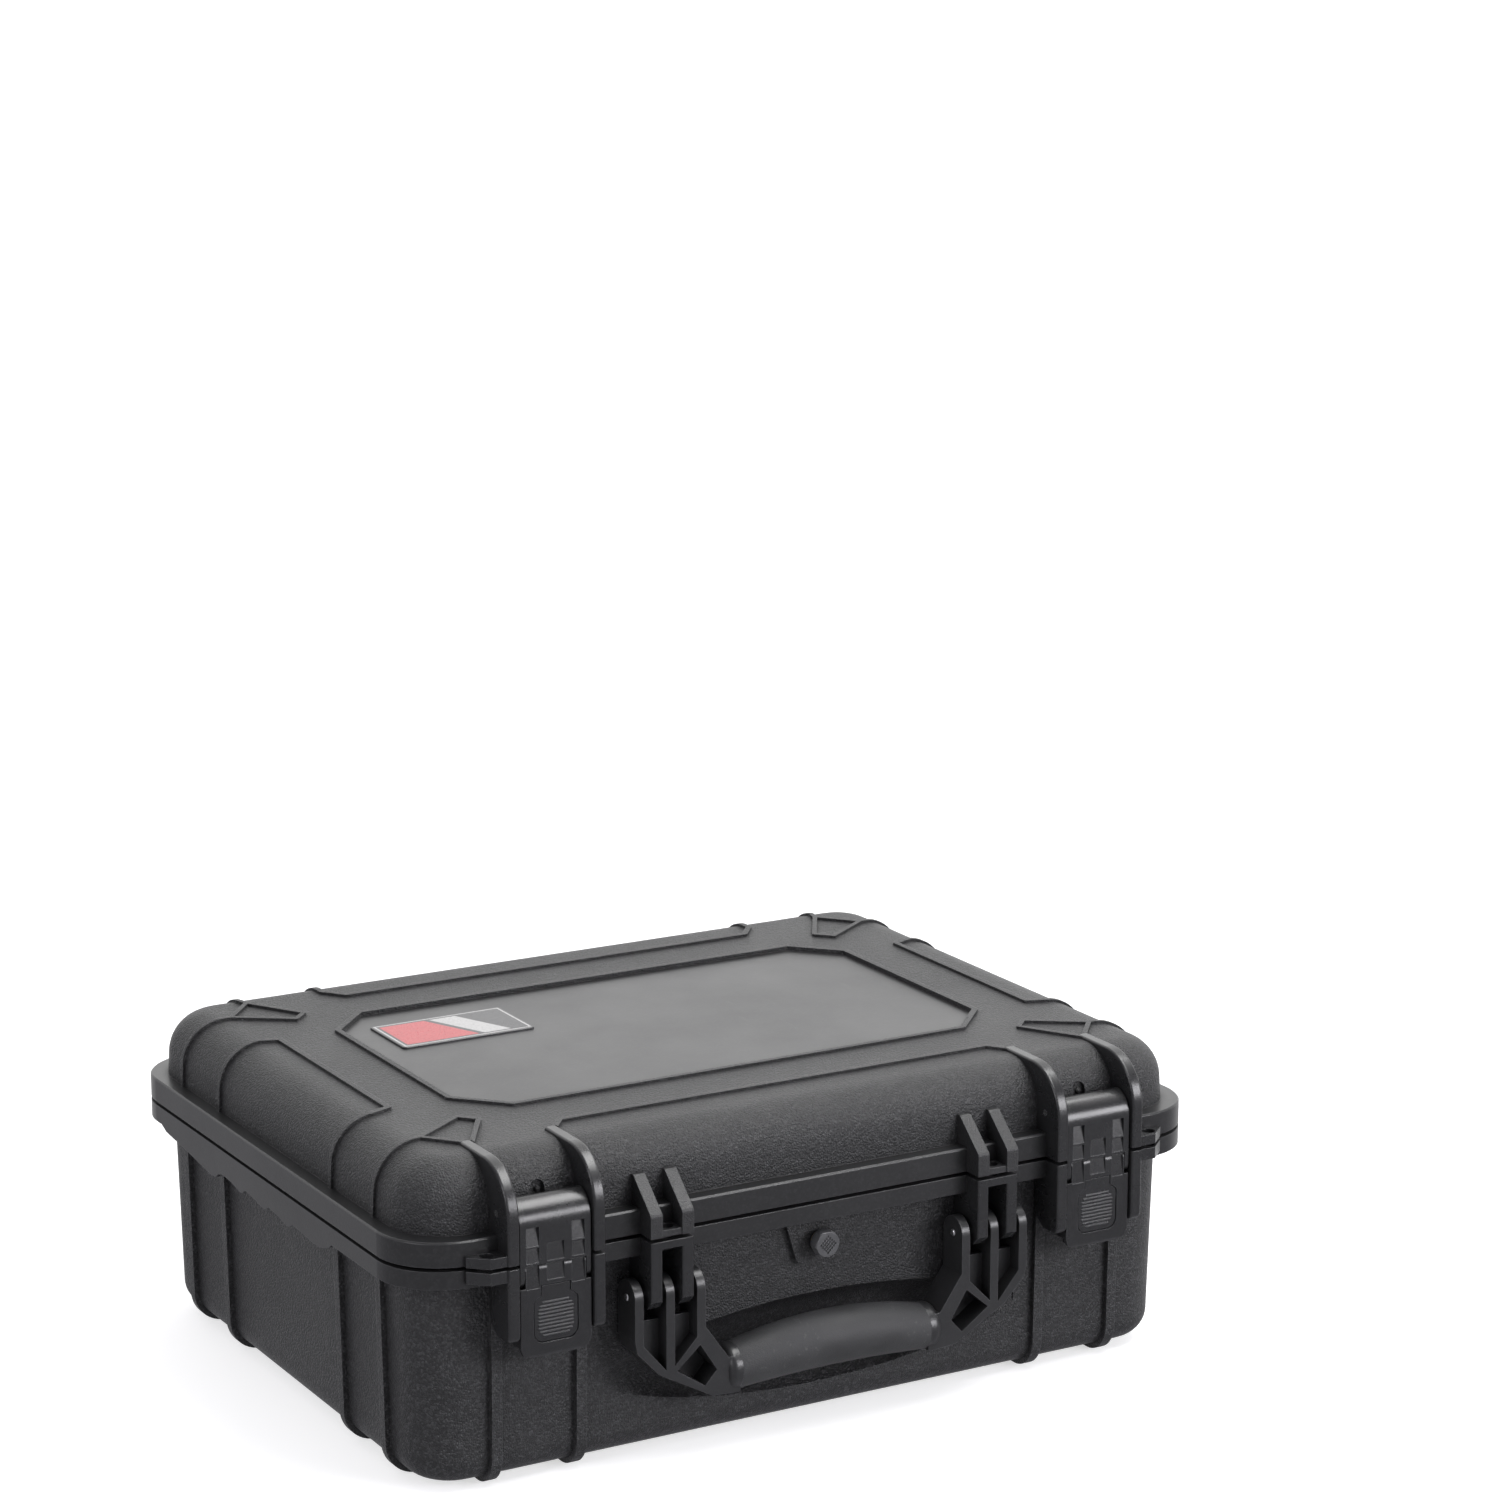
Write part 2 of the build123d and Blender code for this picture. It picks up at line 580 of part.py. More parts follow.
def lid_guards():
    solids = None
    centre_y = front_face + guard_crest_radius
    centre_z = lid_top + line_height - guard_crest_radius
    k = sqrt(0.5) * guard_crest_radius
    for x in (guard_in, guard_out):
        x0 = x - guard_thick / 2
        crest = ThreePointArc((x0, centre_y, lid_top + line_height), (x0, centre_y - k, centre_z + k),
                              (x0, front_face, centre_z))
        inner_y = -half_d + guard_start
        rest = Polyline([(x0, front_face, centre_z), (x0, front_face, lid_low), (x0, inner_y, lid_low),
                         (x0, inner_y, lid_top + line_height), (x0, centre_y, lid_top + line_height)])
        rib = extrude(make_face(crest + rest), amount=guard_thick, dir=(1, 0, 0))
        rib -= lid_keepout()
        rib = rib.solids().sort_by(Axis.Y)[0]
        rib = fillet(rib.edges().filter_by(Axis.Z).group_by(Axis.Y)[0], 1.2)
        rib -= rod_x(latch_pin_y, latch_pin_z, latch_pin_r, x0 - 1, x0 + guard_thick + 1)
        solids = rib if solids is None else solids + rib
    return both_sides(solids)


def lid_keepout():
    """The space that the lid's wall and flange fill."""
    return lid_outer(0) + plate(0, flange_radius, lid_low, lid_low + lid_flange_thick)


def lid_lugs():
    lug = lug_plan(lid_low, lid_low + lug_thick_lid)
    lug -= plate(0, flange_radius, lid_low, lid_low + lid_flange_thick)
    return both_sides(lug)


def lid_tabs():
    solids = None
    for x0, x1 in post_legs_x():
        points = [(-half_d + 30, lid_low), (front_face, lid_low), (front_face, lid_low + 11.85),
                  (-half_d + 7, lid_low + 28.25), (-half_d + 30, lid_low + 28.25)]
        fin = profile_x(points, x0, x1)
        fin -= lid_keepout()
        fin = fin.solids().sort_by(Axis.Y)[0]
        fin = fillet(fin.edges().filter_by(Axis.X).group_by(Axis.Y)[0].group_by(Axis.Z)[-1], 2.5)
        solids = fin if solids is None else solids + fin
    x0 = post_x - leg_half_gap - leg_thick
    x1 = post_x + leg_half_gap + leg_thick
    floor = block(x0 + 1, x1 - 1, front_face + 0.6, -half_d, lid_low, lid_low + post_tab_thick)
    solids += floor
    solids -= rod_z(post_x, lug_y, padlock_hole_r, lid_low - 1, lid_low + post_tab_thick + 1)
    return both_sides(solids)


# ---------------------------------------------------------------- foam and badge
def foam_parts():
    floor_z = foot_height + wall
    hollow = tub(base_inset_bottom + wall + foam_gap, base_inset_top + wall + foam_gap,
                 base_corner_radius - wall - foam_gap, floor_z, seam_height + 1,
                 base_edge_round - wall, False)
    hollow -= finger_scoop(wall + foam_gap)
    valve_room = block(-16, 16, -half_d, -half_d + base_inset_top + wall + 16, valve_z - 14, seam_height + 5)
    save("base_foam_floor", hollow & block(-half_w, half_w, -half_d, half_d, floor_z, floor_z + foam_floor_thick))
    top = seam_height - foam_top_gap
    foam = hollow & block(-half_w, half_w, -half_d, half_d, floor_z + foam_floor_thick, top)
    save("base_foam_block", foam - valve_room)
    inset = lid_inset_low + wall + 5 + lid_foam_gap
    lid = tub(inset, lid_inset_high + wall + lid_foam_gap, lid_corner_radius - wall - 3,
              lid_low - 1, lid_top - wall - 0.01, lid_edge_round - wall, True)
    lid &= block(-half_w, half_w, -half_d, half_d, lid_top - wall - lid_foam_thick, lid_top)
    save("lid_foam", lid)


def name_badge():
    floor = lid_top - panel_recess
    plate_solid = Box(badge_width, badge_depth, badge_thick, align=(Align.CENTER, Align.CENTER, Align.MIN))
    plate_solid = fillet(plate_solid.edges().filter_by(Axis.Z), 2.0)
    plate_solid = chamfer(plate_solid.edges().group_by(Axis.Z)[-1], 0.3)
    return Pos(-half_w + badge_x, half_d - panel_inset_y - badge_from_line, floor) * plate_solid


# ---------------------------------------------------------------- latch, modelled on the right-hand side
def back_y(z):
    """How far in towards the case a closed latch may reach at height z, so that it clears the base
    flange on its way round the hinge when the lid swings up with it."""
    radius = hinge_y + half_d + hinge_sweep_gap
    return max(hinge_y - sqrt(radius ** 2 - (hinge_z - z) ** 2), -half_d - behind_latch_gap) if z < lid_low else \
        -half_d - behind_latch_gap


def face_recess(cx, half, z0, z1, depth):
    """A wedge cut from the latch face, deepest at its top."""
    return profile_x([(face_y - 3, z0), (face_y + 0.15, z0), (face_y + depth, z1), (face_y - 3, z1)],
                     latch_x + cx - half, latch_x + cx + half)


def latch_link():
    """Upper moulding: rolled top on the lid's pin, side walls down to the link pin."""
    x0, x1 = latch_x - latch_half, latch_x + latch_half
    back = -half_d - behind_latch_gap
    plate_z = link_pin_z + 0.8 * link_barrel_r  # high enough for the lever's face to pass under it
    bend_z = latch_pin_z - latch_bend_drop
    # one arc runs from the flat face over the roll, tangent to both
    away = latch_pin_y - face_y
    bow = (away ** 2 + latch_bend_drop ** 2 - latch_roll_radius ** 2) / (2 * (away - latch_roll_radius))
    middle_y = face_y + bow
    last = atan2(latch_pin_z - bend_z, latch_pin_y - middle_y)
    half_way = (pi + last) / 2
    crest = (middle_y + bow * cos(last), bend_z + bow * sin(last))
    over = ThreePointArc((x0, face_y, bend_z), (x0, middle_y + bow * cos(half_way), bend_z + bow * sin(half_way)),
                         (x0, crest[0], crest[1]))

    def under_arc(rest, a, b):
        outline = Polyline([(x0, y, z) for y, z in [crest, (latch_pin_y, latch_pin_z)] + rest + [(face_y, bend_z)]])
        return Pos(a - x0, 0, 0) * extrude(make_face(over + outline), amount=b - a, dir=(1, 0, 0))

    body = rod_x(latch_pin_y, latch_pin_z, latch_roll_radius, x0, x1)
    body += under_arc([(latch_pin_y - 3.2, latch_pin_z - 6), (face_y + latch_thick, bend_z - 1.5),
                       (face_y + latch_thick, plate_z), (face_y, plate_z)], x0, x1)
    body -= rod_x(link_pin_y, link_pin_z, link_barrel_r + link_seam, x0, x1)
    cheek_z = link_pin_z - lever_shoulder + link_barrel_r + 0.8
    for a, b in ((x0, x0 + latch_cheek), (x1 - latch_cheek, x1)):
        body += under_arc([(back, latch_pin_z - 6), (back, cheek_z), (face_y, cheek_z)], a, b)
        body += rod_x(link_pin_y, cheek_z, link_barrel_r, a, b)
    for cx in (-cell_offset, cell_offset):
        body -= face_recess(cx, cell_half, latch_pin_z - 16.2, bend_z - 0.6, 2.2)
        body -= face_recess(cx, cell_half, plate_z + 1.1, latch_pin_z - 17.2, 1.4)
    body -= face_recess(0, cell_half + 1.2, plate_z + 1.1, latch_pin_z - 15.6, 1.4)
    body -= rod_x(latch_pin_y, latch_pin_z, latch_pin_r + running_gap, x0 - 1, x1 + 1)
    return body - rod_x(link_pin_y, link_pin_z, link_pin_r, x0 - 1, x1 + 1)


def latch_lever():
    """Lower moulding: round top on the link pin, face plate with room for the thumb tongue, curled lower edge."""
    x0, x1 = latch_x - latch_half, latch_x + latch_half
    inner0, inner1 = x0 + latch_cheek + 0.4, x1 - latch_cheek - 0.4
    wide_top = link_pin_z - lever_shoulder
    face = front_prism([(x0, wide_top), (x0, lever_low + 6), (x0 + 1.6, lever_low + 2), (x0 + 6, lever_low),
                        (x1 - 6, lever_low), (x1 - 1.6, lever_low + 2), (x1, lever_low + 6), (x1, wide_top)],
                       face_y, face_y + latch_thick)
    # the lower edge curls in towards the wall
    low_cut = profile_x([(face_y - 1, lever_low - 1), (face_y + 2.2, lever_low - 1), (face_y + 0.6, lever_low + 1.6),
                         (face_y, lever_low + 6), (face_y - 1, lever_low + 6)], x0 - 1, x1 + 1)
    lip = block(x0 + 6, x1 - 6, face_y + 1, back_y(lever_low), lever_low, lever_low + 2.4)
    body = face + lip - low_cut
    for a, b in ((x0, x0 + latch_cheek), (x1 - latch_cheek, x1)):
        body += profile_x([(face_y + 0.5, wide_top), (back_y(wide_top), wide_top),
                           (back_y(lever_low + 6), lever_low + 6), (face_y + 0.5, lever_low + 6)], a, b)
    body += block(inner0, inner1, face_y, face_y + latch_thick, wide_top - 0.5, link_pin_z)
    body += rod_x(link_pin_y, link_pin_z, link_barrel_r, inner0, inner1)
    for cx, half in ((-cell_offset, cell_half), (0, cell_half + 1.2), (cell_offset, cell_half)):
        low = wide_top - 0.6 if cx else wide_top + 2.8
        body -= face_recess(cx, half, low, link_pin_z + 0.6 * link_barrel_r, 1.3)
    body -= tongue_outline(tongue_gap, face_y - 5, face_y + 9)
    body -= rod_x(link_pin_y, link_pin_z, link_pin_r + running_gap, x0 - 1, x1 + 1)
    # bearing cheeks of the tongue's pin
    for cx in (-10.4, 8.8):
        body += block(latch_x + cx, latch_x + cx + 1.6, face_y + latch_thick - 0.3, tongue_pin_y + tongue_barrel_r,
                      tongue_pin_z - tongue_barrel_r, tongue_pin_z + 2.2)
    return body - rod_x(tongue_pin_y, tongue_pin_z, tongue_pin_r, latch_x - 11, latch_x + 11)


def tongue_outline(grow, y0, y1):
    """The thumb tongue seen from the front: ribbed pad below, narrow neck above."""
    half = pad_width / 2 + grow
    neck = 7.7 + grow
    right = [(half, pad_low - grow), (half, pad_top - 3), (neck, pad_top), (neck, tongue_pin_z + 2.2 + grow)]
    points = [(latch_x + x, z) for x, z in right] + [(latch_x - x, z) for x, z in reversed(right)]
    body = front_prism(points, y0, y1)
    body = fillet(body.edges().filter_by(Axis.Y).group_by(Axis.Z)[0], pad_corner + grow)
    shoulders = [edge for edge in body.edges().filter_by(Axis.Y)
                 if abs(edge.center().Z - pad_top + 3) < 0.01]
    return fillet(shoulders, 3)


def latch_release():
    """Thumb tongue with cross ridges, on its own pin."""
    body = tongue_outline(0, face_y + 0.3, face_y + 2.8)
    ridge_half = pad_width / 2 - 2.0
    ridges = 10
    pitch = (pad_height - 7.0) / (ridges - 1)
    for i in range(ridges):
        z = pad_top - 4.2 - i * pitch
        reach = ridge_half - (2.6, 1.0, 0.3)[min(i, ridges - 1 - i, 2)]
        body += profile_x([(face_y + 0.35, z + 0.6), (face_y - 0.1, z), (face_y + 0.35, z - 0.6)],
                          latch_x - reach, latch_x + reach)
    body += rod_x(tongue_pin_y, tongue_pin_z, tongue_barrel_r, latch_x - 7.7, latch_x + 7.7)
    spring_room = spring_turns * spring_pitch / 2 + spring_wire_r + 0.4
    body -= rod_x(tongue_pin_y, tongue_pin_z, spring_radius + spring_wire_r + 0.4,
                  latch_x - spring_room, latch_x + spring_room)
    return body - rod_x(tongue_pin_y, tongue_pin_z, tongue_pin_r + running_gap, latch_x - 9, latch_x + 9)


def latch_spring():
    """Coil round the tongue's pin."""
    height = spring_turns * spring_pitch
    line = Helix(spring_pitch, height, spring_radius)
    coil = sweep(Plane(line @ 0, z_dir=line % 0) * Circle(spring_wire_r), path=line)
    return Pos(latch_x - height / 2, tongue_pin_y, tongue_pin_z) * Rot(0, 90, 0) * coil


def latch_parts(side):
    """All pieces of one latch; side is 1 for the right-hand one, -1 for the left-hand one."""
    label = "right" if side > 0 else "left"
    pieces = {
        "link": latch_link(),
        "link_pin": rod_x(link_pin_y, link_pin_z, link_pin_r, latch_x - latch_half, latch_x + latch_half),
        "lever": latch_lever(),
        "release": latch_release(),
        "release_pin": rod_x(tongue_pin_y, tongue_pin_z, tongue_pin_r, latch_x - 10.4, latch_x + 10.4),
        "hinge_pin": rod_x(latch_pin_y, latch_pin_z, latch_pin_r,
                           guard_in - guard_thick / 2, guard_out + guard_thick / 2),
    }
    pieces["release_spring"] = latch_spring()
    for name, solid in pieces.items():
        save("latch_" + label + "_" + name, solid if side > 0 else mirror(solid, Plane.YZ))


# ---------------------------------------------------------------- handle
def handle_frame():
    """Moulded frame: two trusses with three prongs each, joined by the core bar."""
    y0, y1 = pivot_y - prong_half, pivot_y + prong_half
    inner = post_x - leg_half_gap - leg_thick - prong_gap
    outer = post_x + leg_half_gap + leg_thick + prong_gap
    mid = post_x
    p = prong_thick
    top = pivot_z + prong_half
    low = grip_z
    grip_end = grip_half
    left_edge = inner - p
    outline = [(outer + p, top), (outer + p, low + 26.5), (outer + p - 1.2, low + 19.5), (outer - 8.5, low + 6.5),
               (grip_end + 16.5, low - 10.2), (grip_end + 4, low - grip_radius_end + 1),
               (grip_end + 0.2, low - grip_radius_end + 1), (grip_end + 0.2, low + 8),
               (grip_end + 7, low + 8.5), (left_edge, low + 27), (left_edge, top)]
    truss = front_prism(outline, y0, y1)
    strut = 3.6
    windows = [
        [(inner, top + 1), (mid - p / 2, top + 1), (mid - p / 2, low + 9.5), (inner, low + 22.5)],
        [(mid + p / 2, top + 1), (outer, top + 1), (outer, low + 23), (mid + p / 2, low + 8)],
    ]
    for points in windows:
        truss -= front_prism(points, y0 - 1, y1 + 1)
    for points in windows:
        floor = front_prism([(x, min(z, low + 33)) for x, z in points], pivot_y - 0.5, pivot_y + 2.5)
        truss += floor
    diamond = [(left_edge + 3.1, low + 18.0), (mid - strut, low + 6.6), (left_edge + 0.4, low - 4.2),
               (left_edge - 6.4, low + 3.2)]
    truss -= front_prism(diamond, y0 - 1, pivot_y + 4)
    # prong tops are round in side view, and the lower rear edge is eased
    corner = block(left_edge - 1, outer + p + 1, y0 - 1, y1 + 1, pivot_z, top + 1)
    truss -= corner - rod_x(pivot_y, pivot_z, prong_half, left_edge - 2, outer + p + 2)
    collar = rod_x(grip_y, grip_z, grip_radius_end, grip_end, grip_end + 7)
    truss += fillet(collar.edges().group_by(Axis.X)[-1], 4)
    truss -= rod_x(pivot_y, pivot_z, handle_pin_r + running_gap, left_edge - 1, outer + p + 1)
    frame = both_sides(truss)
    return frame + rod_x(grip_y, grip_z + grip_arch / 2, core_radius, -grip_end - 0.5, grip_end + 0.5)


def handle_grip():
    """Soft overmould, bowed upwards and fuller in the middle."""
    sections = []
    for i in range(-3, 4):
        t = i / 3
        radius = grip_radius_end + (grip_radius_mid - grip_radius_end) * (1 - t * t)
        z = grip_z + grip_arch * (1 - t * t)
        sections.append(Pos(t * grip_half, grip_y, z) * Rot(0, 90, 0) * Circle(radius))
    grip = loft(sections)
    return grip - rod_x(grip_y, grip_z + grip_arch / 2, core_radius, -grip_half - 1, grip_half + 1)


def handle_pins():
    inner = post_x - leg_half_gap - leg_thick - prong_gap - prong_thick
    outer = post_x + leg_half_gap + leg_thick + prong_gap + prong_thick
    pin = rod_x(pivot_y, pivot_z, handle_pin_r, inner - 0.8, outer + 0.8)
    return both_sides(fillet(pin.edges().filter_by(GeomType.CIRCLE), 0.9))


# ---------------------------------------------------------------- build everything
save("base_shell", base_shell())
save("base_latch_guards", base_guards())
save("base_padlock_lugs", base_lugs())
save("handle_posts", handle_posts())
save("handle_pins", handle_pins())
save("base_hinge_knuckles", knuckles(False))
save("hinge_rod", rod_x(hinge_y, hinge_z, hinge_rod_r, -hinge_half - 1, hinge_half + 1))
save("hinge_collars", hinge_collars())
valve_parts()
save("lid_shell", lid_shell())
save("lid_gasket", lid_gasket())
save("lid_latch_guards", lid_guards())
save("lid_padlock_lugs", lid_lugs())
save("lid_tabs", lid_tabs())
save("lid_hinge_knuckles", knuckles(True))
save("name_badge", name_badge())
foam_parts()
for latch_side in (1, -1):
    latch_parts(latch_side)
save("handle_frame", handle_frame())
save("handle_grip", handle_grip())

os.makedirs("parts", exist_ok=True)
for node, solid in parts.items():
    export_step(solid, os.path.join("parts", node + ".step"))
print(len(parts), "nodes written")
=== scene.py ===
import json
import math
import bpy
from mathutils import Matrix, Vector, noise


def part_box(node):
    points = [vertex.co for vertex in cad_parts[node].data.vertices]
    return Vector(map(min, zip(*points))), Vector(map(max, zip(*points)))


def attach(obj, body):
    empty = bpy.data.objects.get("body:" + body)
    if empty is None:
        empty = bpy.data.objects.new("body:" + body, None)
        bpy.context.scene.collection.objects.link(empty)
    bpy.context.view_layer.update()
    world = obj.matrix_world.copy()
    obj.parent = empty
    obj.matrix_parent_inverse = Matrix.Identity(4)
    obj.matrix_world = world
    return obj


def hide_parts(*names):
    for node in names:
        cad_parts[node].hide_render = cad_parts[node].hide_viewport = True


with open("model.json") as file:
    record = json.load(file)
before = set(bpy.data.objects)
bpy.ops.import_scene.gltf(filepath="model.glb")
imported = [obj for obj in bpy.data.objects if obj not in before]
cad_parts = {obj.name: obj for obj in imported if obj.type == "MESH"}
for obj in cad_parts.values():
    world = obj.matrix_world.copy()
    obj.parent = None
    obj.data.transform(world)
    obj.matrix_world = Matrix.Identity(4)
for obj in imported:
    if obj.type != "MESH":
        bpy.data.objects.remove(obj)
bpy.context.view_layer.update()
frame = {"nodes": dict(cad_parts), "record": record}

nodes = frame["nodes"]
mm = 0.001
print("frame loaded:", len(nodes), "nodes")


def clearSelection():
    if bpy.context.mode != "OBJECT":
        bpy.ops.object.mode_set(mode="OBJECT")
    bpy.ops.object.select_all(action="DESELECT")


def makeActive(piece):
    clearSelection()
    piece.select_set(True)
    bpy.context.view_layer.objects.active = piece


def applyModifier(piece, kind, **settings):
    makeActive(piece)
    modifier = piece.modifiers.new(kind.title(), kind)
    for key, value in settings.items():
        setattr(modifier, key, value)
    bpy.ops.object.modifier_apply(modifier=modifier.name)


def copyOfNode(nodeName, pieceName):  # own mesh, loose triangles merged
    piece = bpy.data.objects.new(pieceName, nodes[nodeName].data.copy())
    bpy.context.scene.collection.objects.link(piece)
    makeActive(piece)
    bpy.ops.object.mode_set(mode="EDIT")
    bpy.ops.mesh.select_all(action="SELECT")
    bpy.ops.mesh.remove_doubles(threshold=1e-5)
    bpy.ops.mesh.customdata_custom_splitnormals_clear()
    bpy.ops.object.mode_set(mode="OBJECT")
    return piece


def finishPiece(piece, body, material, angle=40):
    makeActive(piece)
    bpy.ops.object.transform_apply(location=True, rotation=True, scale=True)
    bpy.ops.object.shade_smooth_by_angle(angle=math.radians(angle))
    piece.data.materials.clear()
    piece.data.materials.append(material)
    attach(piece, body)
    return piece


class Tree:  # a node tree with short calls
    def __init__(self, tree):
        self.tree = tree

    def add(self, kind, inputs=None, **props):
        node = self.tree.nodes.new(kind)
        for key, value in props.items():
            setattr(node, key, value)
        for key, value in (inputs or {}).items():
            if isinstance(value, bpy.types.NodeSocket):
                self.link(value, node.inputs[key])
            else:
                node.inputs[key].default_value = value
        return node

    def math(self, operation, a, b=0.0, clamp=False):
        node = self.add("ShaderNodeMath", {0: a, 1: b}, operation=operation, use_clamp=clamp)
        return node.outputs[0]

    def dot(self, a, b):
        node = self.add("ShaderNodeVectorMath", {0: a, 1: b}, operation="DOT_PRODUCT")
        return node.outputs["Value"]

    def product(self, *factors):
        result = factors[0]
        for factor in factors[1:]:
            result = self.math("MULTIPLY", result, factor)
        return result

    def ramp(self, value, low, high, toLow=0.0, toHigh=1.0):
        inputs = {"Value": value, "From Min": low, "From Max": high,
                  "To Min": toLow, "To Max": toHigh}
        return self.add("ShaderNodeMapRange", inputs).outputs["Result"]

    def mix(self, factor, a, b):
        node = self.add("ShaderNodeMix", {0: factor, 6: a, 7: b}, data_type="RGBA")
        return node.outputs[2]

    def noise(self, coords, scale, detail=2.0, roughness=0.5):
        inputs = {"Vector": coords, "Scale": scale, "Detail": detail, "Roughness": roughness}
        return self.add("ShaderNodeTexNoise", inputs).outputs["Fac"]

    def xyz(self, coords):
        return tuple(self.add("ShaderNodeSeparateXYZ", {0: coords}).outputs)

    def link(self, source, target):
        self.tree.links.new(source, target)

    def bump(self, shader, height, strength, distance, normal=None):
        inputs = {"Height": height, "Strength": strength, "Distance": distance}
        if normal is not None:
            inputs["Normal"] = normal
        self.link(self.add("ShaderNodeBump", inputs).outputs[0], shader.inputs["Normal"])


def newGroup(name, inputs, outputs):
    tree = bpy.data.node_groups.new(name, "ShaderNodeTree")
    for label, kind, value in inputs:
        socket = tree.interface.new_socket(name=label, in_out="INPUT", socket_type=kind)
        if value is not None:
            socket.default_value = value
    for label, kind in outputs:
        tree.interface.new_socket(name=label, in_out="OUTPUT", socket_type=kind)
    t = Tree(tree)
    return t, t.add("NodeGroupInput"), t.add("NodeGroupOutput")


floatSocket, vectorSocket = "NodeSocketFloat", "NodeSocketVector"


def buildEdgeGroup():  # rounded edges, a mask of them for wear and painted edge highlights, and a mask of corners and grooves for painted shade and added roughness
    t, given, out = newGroup(
        "softEdges", [("Radius", floatSocket, 0.0008)],
        [("Normal", vectorSocket), ("Edge", floatSocket), ("Cavity", floatSocket)])
    rounded = t.add("ShaderNodeBevel", {"Radius": given.outputs["Radius"]}, samples=4).outputs[0]
    flat = t.add("ShaderNodeNewGeometry").outputs["Normal"]
    agreement = t.dot(rounded, flat)
    openness = t.add("ShaderNodeAmbientOcclusion", {"Distance": 0.005}, samples=4).outputs["AO"]
    edge = t.math("MULTIPLY", t.ramp(agreement, 0.99, 0.75), t.ramp(openness, 0.72, 0.95), True)
    t.link(rounded, out.inputs["Normal"])
    t.link(edge, out.inputs["Edge"])
    t.link(t.ramp(openness, 0.85, 0.25), out.inputs["Cavity"])
    return t.tree


def buildPebbleGroup():  # moulded grain: round pebbles of uneven height over a fine tooth
    t, given, out = newGroup(
        "pebbleGrain", [("Vector", vectorSocket, None), ("Size", floatSocket, 1.0)],
        [("Height", floatSocket), ("Speck", floatSocket)])
    coords = given.outputs["Vector"]
    scale = t.math("DIVIDE", 1000.0, given.outputs["Size"])
    cells = t.add("ShaderNodeTexVoronoi", {"Vector": coords, "Scale": scale}, feature="F1")
    chance = t.xyz(cells.outputs["Color"])[0]
    dome = t.ramp(cells.outputs["Distance"], 0.05, 0.75, 1.0, 0.0)
    pebble = t.math("MULTIPLY", dome, t.ramp(chance, 0.0, 1.0, 0.35, 1.0))
    fine = t.noise(coords, t.math("MULTIPLY", scale, 1.9), 2.0, 0.6)
    t.link(t.math("ADD", pebble, t.math("MULTIPLY", fine, 0.6)), out.inputs["Height"])
    t.link(t.math("POWER", chance, 2.5), out.inputs["Speck"])
    return t.tree


def buildMarksGroup():  # slow unevenness and fine scuffs of handled plastic
    t, given, out = newGroup(
        "handlingMarks", [("Vector", vectorSocket, None), ("Size", floatSocket, 60.0)],
        [("Cloud", floatSocket), ("Scuff", floatSocket)])
    coords = given.outputs["Vector"]
    scale = t.math("DIVIDE", 1000.0, given.outputs["Size"])
    cloud = t.ramp(t.noise(coords, scale, 4.0, 0.6), 0.3, 0.7)
    stretch = {"Vector": coords, "Scale": (1.0, 0.18, 1.0), "Rotation": (0.2, 0.5, 0.7)}
    stretched = t.add("ShaderNodeMapping", stretch).outputs[0]
    scratch = t.noise(stretched, t.math("MULTIPLY", scale, 9.0), 3.0, 0.65)
    scuff = t.math("MULTIPLY", t.ramp(scratch, 0.6, 0.68), t.ramp(cloud, 0.45, 0.8), True)
    t.link(cloud, out.inputs["Cloud"])
    t.link(scuff, out.inputs["Scuff"])
    return t.tree


edgeGroup, pebbleGroup, marksGroup = buildEdgeGroup(), buildPebbleGroup(), buildMarksGroup()


def useGroup(t, group, **inputs):
    return t.add("ShaderNodeGroup", inputs, node_tree=group).outputs


def newMaterial(name):
    material = bpy.data.materials.new(name)
    material.use_nodes = True
    material.node_tree.nodes.clear()
    t = Tree(material.node_tree)
    shader = t.add("ShaderNodeBsdfPrincipled")
    t.add("ShaderNodeOutputMaterial", {"Surface": shader.outputs[0]})
    coords = t.add("ShaderNodeTexCoord").outputs["Object"]
    return material, t, shader, coords


def grey(value, tint=(1.0, 1.0, 1.0)):
    return (value * tint[0], value * tint[1], value * tint[2], 1.0)


coolTint = (0.97, 0.98, 1.04)
smoothZones = {  # metres: the plain satin parts of the shells; the rest is grained
    "flangeDown": 0.01125, "flangeUp": 0.01275,  # both from the underside of the lid's flange
    "panelX": 0.1562, "panelY": 0.0910, "panelCorner": 0.1010, "cornerSlope": (0.46, 0.44),
    "panelDrop": 0.0023, "apronInset": 0.0026, "apronDown": 0.0125,
    "fade": 0.0004, "panelFade": 0.0006, "apronFade": 0.0005,
}


